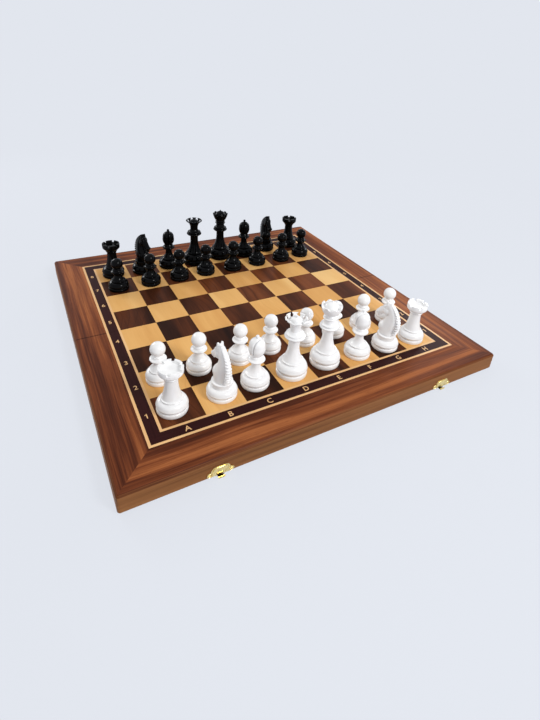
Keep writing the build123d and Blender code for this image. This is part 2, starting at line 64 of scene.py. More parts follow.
DARK_LINE_TOP, DARK_LINE_FADE = BOARD_TOP - 3.0, 1.0
FRONT_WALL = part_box("front_walls")[0][1] / MM
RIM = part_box("front_walls")[0][2] / MM

# The middles of the two catches, and the curl of their hooks: its radius and its height above the
# rim of the front half.
CATCHES = (("left", -152.0), ("right", 152.0))
HOOK_RADIUS, HOOK_CENTRE = 1.9, 0.3

BACKGROUND = (0xE2, 0xE6, 0xEE)


def shade(red, green, blue):
    """Turns a chart's red, green and blue, 0 to 255, into the numbers that light adds up in."""
    def level(value):
        part = value / 255
        return part / 12.92 if part <= 0.04045 else ((part + 0.055) / 1.055) ** 2.4

    return level(red), level(green), level(blue), 1.0


# ---------------------------------------------------------------- writing finishes


class Mark:
    """A value that changes over a surface. Sums written with it become nodes."""

    def __init__(self, finish, socket):
        self.finish = finish
        self.socket = socket

    def worked(self, operation, *values, clamp=False):
        settings = {"operation": operation, "use_clamp": clamp}
        return self.finish.node("ShaderNodeMath", settings, dict(enumerate(values)))

    def __add__(self, other):
        return self.worked("ADD", self, other)

    def __radd__(self, other):
        return self.worked("ADD", other, self)

    def __sub__(self, other):
        return self.worked("SUBTRACT", self, other)

    def __rsub__(self, other):
        return self.worked("SUBTRACT", other, self)

    def __mul__(self, other):
        return self.worked("MULTIPLY", self, other)

    def __rmul__(self, other):
        return self.worked("MULTIPLY", other, self)

    def __truediv__(self, other):
        return self.worked("DIVIDE", self, other)

    def __pow__(self, other):
        return self.worked("POWER", self, other)

    def __abs__(self):
        return self.worked("ABSOLUTE", self)

    def __gt__(self, other):
        return self.worked("GREATER_THAN", self, other)

    def floor(self):
        return self.worked("FLOOR", self)

    def sine(self):
        return self.worked("SINE", self)

    def held(self):
        """The value kept between 0 and 1."""
        return self.worked("ADD", self, 0.0, clamp=True)


class Finish:
    """One material, written as sums of marks that end at its shader."""

    def __init__(self, name, **constants):
        self.material = bpy.data.materials.new(name)
        self.material.use_nodes = True
        self.tree = self.material.node_tree
        self.shader = next(node for node in self.tree.nodes if node.type == "BSDF_PRINCIPLED")
        for socket, value in constants.items():
            self.shader.inputs[socket.replace("_", " ")].default_value = value
        self.place = self.node("ShaderNodeTexCoord", output="Object")
        self.x, self.y, self.z = (
            self.node("ShaderNodeSeparateXYZ", inputs={0: self.place}, output=axis)
            for axis in "XYZ"
        )

    def node(self, kind, settings=None, inputs=None, output=0, stops=None):
        made = self.tree.nodes.new(kind)
        for key, value in (settings or {}).items():
            setattr(made, key, value)
        if stops:
            while len(made.color_ramp.elements) < len(stops):
                made.color_ramp.elements.new(1.0)
            for element, (position, colour) in zip(made.color_ramp.elements, stops):
                element.position = position
                element.color = colour
        for key, value in (inputs or {}).items():
            if isinstance(value, Mark):
                self.tree.links.new(value.socket, made.inputs[key])
            else:
                made.inputs[key].default_value = value
        return Mark(self, made.outputs[output])

    def point(self, x, y, z):
        return self.node("ShaderNodeCombineXYZ", inputs={0: x, 1: y, 2: z})

    def cloud(self, place, scale, detail=3.0, roughness=0.55):
        """Soft noise, from 0 to 1."""
        values = {"Vector": place, "Scale": scale, "Detail": detail, "Roughness": roughness}
        return self.node("ShaderNodeTexNoise", inputs=values)

    def stretched(self, x, y, z, detail=3.0, roughness=0.55):
        """Soft noise over three places, each scaled by how many marks there are in a metre."""
        return self.cloud(self.point(x, y, z), 1.0, detail, roughness)

    def chance(self, place):
        """One random number for each place."""
        return self.node("ShaderNodeTexWhiteNoise", inputs={"Vector": place})

    def tones(self, mark, *stops):
        """A colour read off a row of (position, colour) stops."""
        return self.node("ShaderNodeValToRGB", inputs={0: mark}, stops=stops)

    def spread(self, mark, low, high, to_low=0.0, to_high=1.0):
        """The mark stretched from one range to another, and held inside it."""
        ranges = {"From Min": low, "From Max": high, "To Min": to_low, "To Max": to_high}
        return self.node("ShaderNodeMapRange", inputs={"Value": mark, **ranges})

    def choose(self, mask, first, second):
        """One value where the mask is 0 and another where it is 1."""
        return self.node("ShaderNodeMix", {"data_type": "FLOAT"}, {0: mask, 2: first, 3: second})

    def mixed(self, mask, first, second):
        """Two colours mixed by a mask."""
        inputs = {0: mask, 6: first, 7: second}
        return self.node("ShaderNodeMix", {"data_type": "RGBA"}, inputs, output=2)

    def feeds(self, **marks):
        for socket, mark in marks.items():
            self.tree.links.new(mark.socket, self.shader.inputs[socket.replace("_", " ")])
        return self.material

    def relief(self, height, strength, distance):
        """Fine relief on the surface."""
        values = {"Strength": strength, "Distance": distance, "Height": height}
        self.feeds(Normal=self.node("ShaderNodeBump", inputs=values))


# ---------------------------------------------------------------- woods


def board_grain(finish):
    """How far along and across its board each point lies, and which board it is.

    The boards make a frame that is mitred at its corners.
    """
    ends = abs(finish.x) > abs(finish.y)
    along = finish.choose(ends, finish.x, finish.y)
    across = finish.choose(ends, finish.y, finish.x)
    side = finish.choose(ends, finish.y > 0.0, 2.0 + (finish.x > 0.0))
    return along, across, side


def walnut(name, dark, brown, tawny, bright):
    """Walnut with broad figure, soft streaks, fine lines and open pores along each board.

    A dark seam shows where the two halves meet.
    """
    finish = Finish(name, Specular_IOR_Level=0.06)
    along, across, side = board_grain(finish)
    wander = 14.0 * MM
    drift = finish.stretched(along * 3.0, across * 7.0, side * 3.1, 2.0) * wander
    run = across + finish.z + drift
    figure = finish.stretched(run * 46.0, along * 1.6, side * 5.7, 2.0, 0.45)
    streaks = finish.stretched(run * 150.0, along * 3.4, side * 2.3, 2.0, 0.5)
    lines = finish.stretched(run * 620.0, along * 14.0, side * 7.1, 2.0, 0.6)
    pores = finish.stretched(run * 1500.0, along * 90.0, side, 1.0, 0.5)
    mark = figure * 0.54 + streaks * 0.30 + lines * 0.16
    body = finish.tones(
        finish.spread(mark, 0.37, 0.65),
        (0.0, dark), (0.30, brown), (0.55, tawny), (0.82, bright), (1.0, tawny),
    )
    pored = finish.spread(pores, 0.62, 0.74, 0.0, 0.35)
    seam = finish.spread(abs(finish.y), 0.3 * MM, 1.4 * MM, 0.75, 0.0)
    colour = finish.mixed((pored + seam).held(), body, dark)
    finish.relief(lines * 0.5 - pored * 0.6, 0.2, 0.0003)
    return finish.feeds(Base_Color=colour, Roughness=finish.spread(streaks, 0.3, 0.7, 0.38, 0.52))


def square_finish(name, seed, tones, line_tone, streak, figured, gloss):
    """Veneer squares, each cut from its own sheet.

    The grain runs up the files, and the growth lines are arched.
    """
    finish = Finish(name, Specular_IOR_Level=gloss)
    column = (finish.x / (SQUARE * MM)).floor()
    row = (finish.y / (SQUARE * MM)).floor()
    own = finish.chance(finish.point(column, row, seed))
    sheet = finish.chance(finish.point(column, row, seed + 4.0))
    x, y = finish.x, finish.y
    bend = finish.stretched(x * 13.0 + own * 9.0, y * 8.0 + sheet * 7.0, own * 11.0, 1.0)
    streaked = x * streak + bend * 1.2 + own * 31.0
    figure = finish.stretched(streaked, y * 4.0 + own * 17.0, sheet * 9.0, roughness=0.5)
    growth = (x * 520.0 + bend * 34.0 + own * 6.0).sine() * (0.62 + sheet * 0.38)
    fine = finish.stretched(x * 1300.0, y * 30.0, own * 5.0, 2.0)
    mark = figure * 0.72 + fine * 0.14 + own * 0.22
    body = finish.tones(finish.spread(mark, 0.30, 0.76), *tones)
    colour = finish.mixed(finish.spread(growth, 0.70, 1.0, 0.0, figured), body, line_tone)
    finish.relief(fine + figure * 0.5, 0.12, 0.0002)
    rough = finish.spread(fine, 0.3, 0.7, 0.28, 0.38)
    return finish.feeds(Base_Color=colour, Roughness=rough)


def plain_inlay(name, tone, deep, gloss):
    """A narrow strip of one even wood, with a little lengthwise grain."""
    finish = Finish(name, Specular_IOR_Level=gloss)
    along, across, side = board_grain(finish)
    lines = finish.stretched(across * 700.0, along * 12.0, side * 4.0)
    patches = finish.stretched(across * 40.0, along * 6.0, side * 9.0)
    colour = finish.mixed(finish.spread(lines * 0.6 + patches * 0.4, 0.30, 0.72), deep, tone)
    finish.relief(lines, 0.12, 0.0002)
    return finish.feeds(Base_Color=colour, Roughness=finish.spread(lines, 0.3, 0.7, 0.32, 0.42))


def edge_ply(name):
    """The stained edge of the top panel, dark at its foot where it meets the walls."""
    finish = Finish(name, Specular_IOR_Level=0.06)
    along, _, side = board_grain(finish)
    lines = finish.stretched(along * 9.0, finish.z * 900.0, side)
    broad = finish.stretched(along * 5.0, finish.z * 200.0, side * 3.0, 2.0)
    body = finish.tones(
        finish.spread(lines * 0.5 + broad * 0.5, 0.35, 0.65),
        (0.0, shade(82, 44, 24)), (1.0, shade(132, 80, 46)),
    )
    # Darkened at the foot of the edge, where the panel meets the walls, faded in over a millimetre.
    dark_line = finish.spread(finish.z, (DARK_LINE_TOP - DARK_LINE_FADE) * MM, DARK_LINE_TOP * MM, 0.85, 0.0)
    colour = finish.mixed(dark_line, body, shade(46, 22, 12))
    return finish.feeds(Base_Color=colour, Roughness=finish.spread(lines, 0.3, 0.7, 0.48, 0.60))


def felt(name):
    """Green felt, a little worn."""
    finish = Finish(name, Specular_IOR_Level=0.2, Sheen_Weight=0.4, Sheen_Roughness=0.5)
    fluff = finish.cloud(finish.place, 900.0, 3.0, 0.7)
    worn = finish.cloud(finish.place, 14.0, 3.0)
    colour = finish.tones(
        finish.spread(fluff * 0.7 + worn * 0.3, 0.3, 0.7),
        (0.0, shade(20, 52, 34)), (1.0, shade(40, 84, 56)),
    )
    finish.relief(fluff, 0.6, 0.0004)
    return finish.feeds(Base_Color=colour, Roughness=finish.spread(fluff, 0.3, 0.7, 0.85, 1.0))


# ---------------------------------------------------------------- brass and plastic


def brass(name):
    """Polished brass, a little worn, with painted shade inside the curl of the two hooks."""
    finish = Finish(name, Metallic=1.0, Specular_IOR_Level=0.5)
    tarnish = finish.cloud(finish.place, 260.0, 4.0, 0.6)
    scratches = finish.stretched(finish.x * 300.0, finish.z * 2600.0, finish.y * 900.0, 2.0)
    polished = finish.tones(
        finish.spread(tarnish, 0.30, 0.70),
        (0.0, shade(212, 184, 116)), (0.4, shade(234, 212, 146)), (1.0, shade(244, 228, 170)),
    )
    out = finish.y - (FRONT_WALL - HOOK_RADIUS) * MM
    up = finish.z - (RIM + HOOK_CENTRE) * MM
    from_curl = (out * out + up * up) ** 0.5
    # Painted shade: the inside of each hook's curl is darkened towards dark brown.
    painted_shade_in_curl = finish.spread(from_curl, (HOOK_RADIUS - 0.4) * MM, (HOOK_RADIUS - 0.2) * MM, 0.93, 0.0)
    colour = finish.mixed(painted_shade_in_curl, polished, shade(52, 34, 12))
    finish.relief(scratches, 0.12, 0.0001)
    rough = finish.spread(tarnish + scratches * 0.3, 0.4, 0.9, 0.20, 0.36)
    return finish.feeds(Base_Color=colour, Roughness=rough)


def moulded(name, tone, deep, low, high, gloss):
    """Polished moulded plastic, a little uneven from the mould and from handling."""
    finish = Finish(name, Specular_IOR_Level=gloss)
    cloudy = finish.cloud(finish.place, 60.0, 3.0)
    handled = finish.cloud(finish.place, 220.0, 4.0, 0.6)
    ripple = finish.cloud(finish.place, 420.0, 2.0)
    colour = finish.mixed(finish.spread(cloudy, 0.35, 0.65), deep, tone)
    finish.relief(ripple, 0.05, 0.0002)
    return finish.feeds(Base_Color=colour, Roughness=finish.spread(handled, 0.3, 0.7, low, high))


FINISHES = {
    "walnut_border": walnut(
        "walnut_border",
        shade(46, 19, 10), shade(84, 40, 22), shade(122, 65, 36), shade(164, 98, 56),
    ),
    "walnut_walls": walnut(
        "walnut_walls",
        shade(100, 62, 34), shade(124, 80, 46), shade(136, 90, 53), shade(148, 101, 61),
    ),
    "panel_wood": edge_ply("panel_edge"),
    "maple_stringing": plain_inlay(
        "maple_stringing", shade(236, 190, 134), shade(220, 170, 112), gloss=0.3,
    ),
    "dark_band": plain_inlay("dark_band", shade(54, 22, 21), shade(38, 14, 13), gloss=0.05),
    "light_squares": square_finish(
        "maple_squares", 1.0,
        (
            (0.0, shade(208, 150, 84)), (0.45, shade(222, 169, 101)),
            (0.8, shade(231, 182, 114)), (1.0, shade(237, 193, 128)),
        ),
        shade(190, 132, 70), streak=34.0, figured=0.38, gloss=0.08,
    ),
    "dark_squares": square_finish(
        "walnut_squares", 2.0,
        (
            (0.0, shade(34, 16, 9)), (0.35, shade(56, 28, 15)),
            (0.7, shade(88, 46, 25)), (1.0, shade(122, 68, 38)),
        ),
        shade(40, 20, 12), streak=46.0, figured=0.4, gloss=0.05,
    ),
    "felt": felt("green_felt"),
    "brass": brass("polished_brass"),
    "white_plastic": moulded(
        "white_plastic", shade(246, 246, 246), shade(240, 240, 241), low=0.16, high=0.26, gloss=0.5,
    ),
    "black_plastic": moulded(
        "black_plastic", shade(5, 5, 6), shade(8, 8, 9), low=0.05, high=0.10, gloss=0.08,
    ),
}


def finish_for(slot_name):
    """The finish that goes on every piece of a slot."""
    return FINISHES[slot_name]


# ---------------------------------------------------------------- making pieces


def as_mesh(shape, name):
    """A finished shape's mesh."""
    mesh = bpy.data.meshes.new(name)
    shape.to_mesh(mesh)
    shape.free()
    return mesh


def joined_to(mesh, name, body, slot_name):
    """Puts a mesh in the scene as a piece that moves with a body."""
    piece = bpy.data.objects.new(name, mesh)
    bpy.context.scene.collection.objects.link(piece)
    mesh.materials.append(finish_for(slot_name))
    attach(piece, body)
    return piece


def outline_points(start, outline):
    """The points of a turned outline, given as (radius, height, outward bulge).

    A longer curve gets more steps.
    """
    here = Vector((start[0], 0.0, start[1]))
    points = [here]
    for radius, height, bulge in outline:
        there = Vector((radius, 0.0, height))
        if bulge:
            run = there - here
            out = Vector((run.z, 0.0, -run.x)).normalized() * bulge * 4 / 3
            steps = max(4, min(14, int(run.length / 1.1) + 3))
            knots = (here, here + run / 3 + out, there - run / 3 + out, there)
            points += interpolate_bezier(*knots, steps)[1:]
        else:
            points.append(there)
        here = there
    return points


def lathe(start, outline, steps=72):
    """Turns an outline about the upright axis and closes it at its poles."""
    shape = bmesh.new()
    corners = [shape.verts.new(point) for point in outline_points(start, outline)]
    edges = [shape.edges.new(pair) for pair in zip(corners, corners[1:])]
    bmesh.ops.spin(
        shape, geom=corners + edges, cent=(0, 0, 0), axis=(0, 0, 1), angle=2 * pi, steps=steps,
        use_merge=True,
    )
    bmesh.ops.remove_doubles(shape, verts=shape.verts, dist=0.001)
    bmesh.ops.recalc_face_normals(shape, faces=shape.faces)
    return shape


def rounded(shape, edges, width, segments, held=False):
    """Rounds the given edges of a shape. A held width stops short of where two edges would meet."""
    bmesh.ops.bevel(
        shape, geom=edges, offset=width, segments=segments, profile=0.5, affect="EDGES",
        material=-1, clamp_overlap=held,
    )


def eased(shape, width, segments=2):
    """Rounds a shape's sharper edges a little and smooths the rest."""
    sharp_angle = 0.5
    sharp = [
        edge for edge in shape.edges
        if len(edge.link_faces) == 2 and edge.calc_face_angle() > sharp_angle
    ]
    rounded(shape, sharp, width, segments, held=True)
    for face in shape.faces:
        face.smooth = True
    return shape


def modelled(shape, modifiers):
    """The shape after a few modifiers, each given as (kind, settings)."""
    clay = bpy.data.objects.new("clay", as_mesh(shape, "clay"))
    bpy.context.scene.collection.objects.link(clay)
    for kind, settings in modifiers:
        step = clay.modifiers.new(kind.lower(), kind)
        for key, value in settings.items():
            setattr(step, key, value)
    finished = clay.evaluated_get(bpy.context.evaluated_depsgraph_get())
    shape = bmesh.new()
    shape.from_mesh(bpy.data.meshes.new_from_object(finished))
    bpy.data.objects.remove(clay)
    return shape


def cut_away(shape, cutter):
    """Cuts one closed shape out of another."""
    tool = bpy.data.objects.new("cutting_tool", as_mesh(cutter, "cutting_tool"))
    bpy.context.scene.collection.objects.link(tool)
    cut = {"object": tool, "operation": "DIFFERENCE", "solver": "EXACT"}
    shape = modelled(shape, [("BOOLEAN", cut)])
    bpy.data.objects.remove(tool)
    bmesh.ops.remove_doubles(shape, verts=shape.verts, dist=0.002)
    return shape


def block(size, matrix):
    """A block in its place."""
    shape = bmesh.new()
    bmesh.ops.create_cube(shape, size=1.0, matrix=matrix @ Matrix.Diagonal((*size, 1.0)))
    return shape


def gather(shapes):
    """Several shapes as one."""
    whole = bmesh.new()
    for shape in shapes:
        mesh = as_mesh(shape, "part_of_whole")
        whole.from_mesh(mesh)
        bpy.data.meshes.remove(mesh)
    return whole


# ---------------------------------------------------------------- lettering


def add_flag(mesh, high, lift):
    """Adds the slanted stroke at the top of a number 1."""
    length, thickness, slant = 2.6, 0.9, radians(38)
    flag = bmesh.new()
    flag.from_mesh(mesh)
    lean = Matrix.Translation((-1.0, high - 1.35, 0)) @ Matrix.Rotation(slant, 4, "Z")
    stroke = Matrix.Diagonal((length, thickness, 2 * lift, 1.0))
    bmesh.ops.create_cube(flag, size=1.0, matrix=lean @ stroke)
    flag.to_mesh(mesh)
    flag.free()


def write_lettering():
    """Inlays the file letters in the front and back bands and the rank numbers in both sides."""
    height, lift, heavier = 7.2, 0.03, 0.1
    font_height = 0.73
    marks = []
    for file, letter in enumerate("ABCDEFGH"):
        x = (file + 0.5) * SQUARE - HALF_BOARD
        marks.append((f"letter_{letter}_front", letter, x, -BAND_MIDDLE, "front_half"))
        marks.append((f"letter_{letter}_back", letter, x, BAND_MIDDLE, "back_half"))
    for rank in range(FILES):
        y = (rank + 0.5) * SQUARE - HALF_BOARD
        body = "front_half" if y < 0 else "back_half"
        marks.append((f"number_{rank + 1}_left", str(rank + 1), -BAND_MIDDLE, y, body))
        marks.append((f"number_{rank + 1}_right", str(rank + 1), BAND_MIDDLE, y, body))
    for name, text, x, y, body in marks:
        curve = bpy.data.curves.new(name, "FONT")
        curve.body = text
        curve.size = height / font_height
        curve.align_x = "CENTER"
        curve.align_y = "CENTER"
        curve.extrude = lift
        curve.offset = heavier
        sample = bpy.data.objects.new(name, curve)
        bpy.context.scene.collection.objects.link(sample)
        bpy.context.view_layer.update()
        mesh = bpy.data.meshes.new_from_object(sample)
        bpy.data.objects.remove(sample)
        low = min(vert.co.y for vert in mesh.vertices)
        high = max(vert.co.y for vert in mesh.vertices)
        if text == "1":
            add_flag(mesh, high, lift)
        middle = (low + high) / 2
        mesh.transform(Matrix.Scale(MM, 4) @ Matrix.Translation((x, y - middle, BOARD_TOP)))
        mesh.name = name
        joined_to(mesh, name, body, "maple_stringing")


# ---------------------------------------------------------------- clasps


def crosswise(shape, reach):
    """The edges of a block that run through it from front to back."""
    return [
        edge for edge in shape.edges
        if abs(edge.verts[0].co.y - edge.verts[1].co.y) > reach
    ]


def raised_field(raised):
    """The field of a catch: round shoulders, small lower corners and an arch over the hook."""
    half, rise, lift, shoulder, lower_corner = 8.9, 9.6, 2.6, 5.6, 1.2
    arch_width, arch_height, arch_middle, arch_corner = 9.8, 7.0, 3.2, 2.6
    middle = lift + rise / 2
    field = block((2 * half, 2 * raised, rise), Matrix.Translation((0, 0, middle)))
    for reach, top in ((shoulder, True), (lower_corner, False)):
        corners = [
            edge for edge in crosswise(field, raised)
            if all((vert.co.z > middle) == top for vert in edge.verts)
            and all(abs(vert.co.x) > half - 0.01 for vert in edge.verts)
        ]
        rounded(field, corners, reach, segments=8)
    arch = block((arch_width, 4 * raised, arch_height), Matrix.Translation((0, 0, arch_middle)))
    rounded(arch, crosswise(arch, raised), arch_corner, segments=6)
    return eased(cut_away(field, arch), 0.42, segments=3)


def ear_rim(x, z):
    """The raised rim of an ear, round its pin."""
    inner, outer, sunk, raised = 2.05, 2.85, -0.1, 0.2
    ring = lathe((inner, sunk), [
        (inner, raised, 0.0), (outer - 0.1, raised, 0.35), (outer, sunk, 0.0), (inner, sunk, 0.0),
    ], steps=32)
    place = Matrix.Translation((x, 0, z)) @ Matrix.Rotation(pi / 2, 4, "X")
    bmesh.ops.transform(ring, verts=ring.verts, matrix=place)
    return ring


def emboss_catches():
    """The pressed pattern that stands out of the plates of the two catches."""
    plate, raised, ear_offset, ear_height = 0.8, 0.75, 11.4, 4.6
    for side, x in CATCHES:
        shapes = [raised_field(raised)] + [ear_rim(end * ear_offset, ear_height) for end in (-1, 1)]
        mesh = as_mesh(gather(shapes), f"{side}_catch_embossing")
        mesh.transform(Matrix.Scale(MM, 4) @ Matrix.Translation((x, FRONT_WALL - plate, RIM)))
        joined_to(mesh, mesh.name, "front_half", "brass")


# ---------------------------------------------------------------- men

# A man's foot and the ring on it, as shares of its base radius: (radius, height, outward bulge).
FOOT = (
    (0.975, 0.04, 0.006),
    (0.975, 0.27, 0.02),
    (0.905, 0.315, 0.0),
    (0.905, 0.335, 0.0),
    (0.975, 0.40, 0.012),
    (0.965, 0.58, 0.03),
    (0.74, 0.84, 0.045),
)
RING = (
    (0.66, 0.88, -0.006),
    (0.70, 0.91, 0.0),
    (0.69, 0.99, 0.02),
    (0.63, 1.0, 0.0),
)


def foot(base, rise, shares=FOOT + RING):
    """A man's foot. Its rise makes it taller or lower than the shares."""
    sole = (0.94 * base, 0.0, 0.0)
    return [sole] + [(r * base, z * base * rise, bulge * base) for r, z, bulge in shares]


def stem(start, radius, height):
    """The hollow sweep from the top of the foot to a waist, where it ends upright."""
    narrowing, rise = start[0] - radius, height - start[1]
    chord = (narrowing**2 + rise**2) ** 0.5
    sweep = chord**2 / (2 * narrowing)
    return [(radius, height, -(sweep - (sweep**2 - chord**2 / 4) ** 0.5))]


def collar(neck, reach, height, above):
    """A sharp disc round the stem, with a bead on top of it."""
    return [
        (neck, height - 4.2, 0.0),
        (reach, height - 0.7, 0.5),
        (reach, height + 0.7, 0.3),
        (0.68 * reach, height + 2.8, -0.5),
        (0.72 * reach, height + 4.2, 0.4),
        (above, height + 5.4, 0.0),
    ]


def double_collar(neck, reach, height, above):
    """Two discs, the upper one smaller, with a hollow shoulder over them."""
    return [
        (neck, height - 3.8, 0.0),
        (reach, height - 0.8, 0.5),
        (reach, height + 0.7, 0.3),
        (0.82 * reach, height + 1.9, -0.1),
        (0.90 * reach, height + 2.5, 0.1),
        (0.88 * reach, height + 3.8, 0.2),
        (0.64 * reach, height + 5.4, -0.4),
        (above, height + 7.6, 0.0),
    ]


def ball(start, centre, radius):
    """A ball that grows out of a stem as wide as its start."""
    low = centre - (radius**2 - start**2) ** 0.5
    chord = ((radius - start) ** 2 + (centre - low) ** 2) ** 0.5
    return [
        (start, low, 0.0),
        (radius, centre, radius - (radius**2 - chord**2 / 4) ** 0.5),
        (0.0, centre + radius, radius * (1 - 0.5**0.5)),
    ]


def rim_cuts(radius, well, height, notch, number):
    """Round bars laid outwards from a crown's well over its rim, which cut it into petals."""
    bars = []
    laid = Matrix.Translation((radius, 0, height)) @ Matrix.Rotation(pi / 2, 4, "Y")
    for n in range(number):
        bar = bmesh.new()
        bmesh.ops.create_cone(
            bar, cap_ends=True, segments=24, radius1=notch, radius2=notch,
            depth=2 * (radius - well), matrix=Matrix.Rotation(2 * pi * n / number, 4, "Z") @ laid,
        )
        bars.append(bar)
    return gather(bars)


def pawn():
    """A stem with a sharp collar and a ball."""
    base, foot_rise, neck, neck_height = 15.5, 1.04, 5.3, 25.5
    collar_reach, collar_height, head, height = 9.5, 29.9, 8.9, 51.6
    low = foot(base, foot_rise)
    upper = stem(low[-1], neck, neck_height) + collar(neck, collar_reach, collar_height, neck)
    upper += ball(neck, height - head, head)
    return eased(lathe((0.0, 0.0), low + upper), 0.2)


def rook():
    """A turret with a hollow top, notched between its merlons."""
    base, foot_rise, waist, neck_ring, head = 17.4, 1.02, 7.2, 8.5, 42.8
    turret, cup, rim = 13.4, 10.4, 56.4
    merlons, notch, notch_depth, first_notch = 6, 3.5, 3.0, 2.0
    low = foot(base, foot_rise)
    upper = stem(low[-1], waist, head - 3.0) + [
        (waist, head, 0.0),
        (neck_ring, head + 0.6, 0.2),
        (neck_ring - 0.2, head + 1.6, 0.3),
        (neck_ring - 0.6, head + 2.0, 0.0),
        (turret - 0.7, head + 6.4, 0.3),
        (turret, head + 8.0, 0.2),
        (turret, rim, 0.0),
        (cup, rim, 0.0),
        (cup - 0.6, rim - 2.6, 0.0),
        (cup - 1.8, rim - 4.0, -0.4),
        (0.0, rim - 4.4, -0.1),
    ]
    notches = []
    over_rim = Matrix.Translation(((turret + cup) / 2, 0, rim))
    for n in range(merlons):
        turn = Matrix.Rotation(radians(first_notch) + 2 * pi * n / merlons, 4, "Z")
        notches.append(block((turret, notch, 2 * notch_depth), turn @ over_rim))
    return eased(cut_away(lathe((0.0, 0.0), low + upper), gather(notches)), 0.35)


def bishop():
    """A mitre with a slot down its front, and a kernel that shows in the slot."""
    base, foot_rise, waist, waist_height = 17.3, 0.98, 5.3, 28.0
    collar_reach, collar_height, mitre, widest, knob, height = 10.0, 35.6, 9.4, 53.4, 2.2, 68.0
    slot, slot_from_middle, slot_foot, core = 2.2, 3.4, 46.0, 6.6
    crown = height - 1.9 * knob
    low = foot(base, foot_rise)
    upper = stem(low[-1], waist, waist_height)
    upper += collar(waist, collar_reach, collar_height, waist + 1.0)
    upper += [(mitre, widest, 1.5), (knob - 0.7, crown, 2.6)]
    upper += ball(knob - 0.7, height - knob, knob)
    slot_place = Matrix.Translation((0, -slot_from_middle, slot_foot + height / 2))
    cut = block((3 * mitre, slot, height), slot_place)
    mitred = eased(cut_away(lathe((0.0, 0.0), low + upper), cut), 0.45, segments=3)
    kernel = lathe((0.0, slot_foot - 2.0), [
        (core - 2.2, slot_foot - 2.0, 0.0), (core, widest, 0.9), (0.0, crown - 3.0, 2.4),
    ])
    return gather([mitred, eased(kernel, 0.2)])


def queen():
    """A flared crown cut into petals, with a dome and a small ball in it."""
    base, foot_rise, waist, waist_height = 19.3, 1.1, 6.6, 42.0
    collar_reach, collar_height, neck, finial, height = 12.3, 54.4, 6.5, 1.6, 82.5
    crown, crown_height, petals, notch = 13.4, 77.2, 8, 2.2
    well, well_depth, dome = 9.0, 3.2, 6.8
    low = foot(base, foot_rise)
    upper = stem(low[-1], waist, waist_height)
    upper += double_collar(waist, collar_reach, collar_height, neck)
    upper += [
        (neck, 66.6, 0.0),
        (crown, crown_height, -1.5),
        (crown - 0.4, crown_height + 1.3, 0.3),
        (crown - 2.0, crown_height + 1.2, 0.0),
        (well, crown_height - well_depth, -0.3),
        (dome, crown_height - well_depth - 0.2, -0.1),
        (finial, height - 2 * finial, 2.3),
    ]
    upper += ball(0.8 * finial, height - finial, finial)
    body = lathe((0.0, 0.0), low + upper, steps=96)
    cuts = rim_cuts(crown, well, crown_height - well_depth + notch + 0.3, notch, petals)
    return eased(cut_away(body, cuts), 0.5, segments=3)


def king():
    """A tall bowl on two rings, its crown cut into petals, with a point in the middle."""
    base, foot_rise, waist, waist_height = 19.3, 1.1, 6.6, 43.0
    collar_reach, collar_height, neck, bowl, point, height = 11.8, 54.6, 6.6, 7.6, 1.1, 90.0
    crown, crown_height, petals, notch = 12.9, 82.6, 8, 3.2
    well, well_depth = 9.2, 1.4
    low = foot(base, foot_rise)
    upper = stem(low[-1], waist, waist_height)
    upper += double_collar(waist, collar_reach, collar_height, neck + 0.6)
    upper += [
        (neck, 64.8, 0.0),
        (bowl + 0.9, 66.0, 0.3),
        (bowl + 0.9, 67.2, 0.4),
        (bowl - 0.6, 68.2, 0.0),
        (bowl + 0.4, 69.2, 0.3),
        (bowl + 0.4, 70.2, 0.3),
        (bowl - 0.4, 71.2, 0.0),
        (bowl + 1.6, 73.0, -0.2),
        (crown, crown_height, 0.5),
        (crown - 0.4, crown_height + 1.6, 0.3),
        (crown - 2.0, crown_height + 1.4, 0.0),
        (well, crown_height - well_depth, -0.3),
        (point + 1.0, height - 2.2 * point, 1.4),
    ]
    upper += ball(0.9 * point, height - point, point)
    body = lathe((0.0, 0.0), low + upper, steps=96)
    cuts = rim_cuts(crown, well, crown_height - well_depth + notch + 0.3, notch, petals)
    return eased(cut_away(body, cuts), 0.4, segments=3)


# A knight's neck and head, as slices: (middle y, middle z, half depth, half width, lean in
# degrees).
NECK = (
    (-0.2, 20.0, 11.2, 9.8, 0.0),
    (0.0, 22.0, 11.4, 9.7, 0.0),
    (1.0, 27.0, 11.8, 9.2, 0.0),
    (0.4, 32.5, 12.2, 8.4, 0.0),
    (-1.9, 38.0, 10.8, 7.2, 0.0),
    (-3.7, 44.0, 9.0, 6.0, 0.0),
    (-3.9, 50.0, 7.6, 5.2, 0.0),
    (-1.6, 56.0, 7.0, 4.8, 0.0),
    (1.2, 61.0, 5.8, 4.4, 0.0),
    (2.8, 64.4, 3.8, 3.4, 0.0),
)
HEAD = (
    (1.6, 60.4, 4.8, 4.2, 47.0),
    (4.0, 58.2, 6.0, 4.8, 47.0),
    (7.0, 55.5, 6.4, 5.2, 47.0),
    (11.5, 51.3, 5.0, 4.3, 47.0),
    (15.6, 47.4, 4.1, 3.7, 47.0),
    (18.2, 45.0, 4.1, 3.9, 47.0),
    (19.4, 43.9, 3.0, 3.1, 47.0),
)
# The curve down the back of its neck that the mane follows: (y, z).
CREST = (
    (2.0, 65.0), (-4.2, 62.2), (-9.2, 57.6), (-12.8, 51.5),
    (-15.4, 44.0), (-15.8, 36.0), (-14.4, 28.0), (-11.8, 21.4),
)


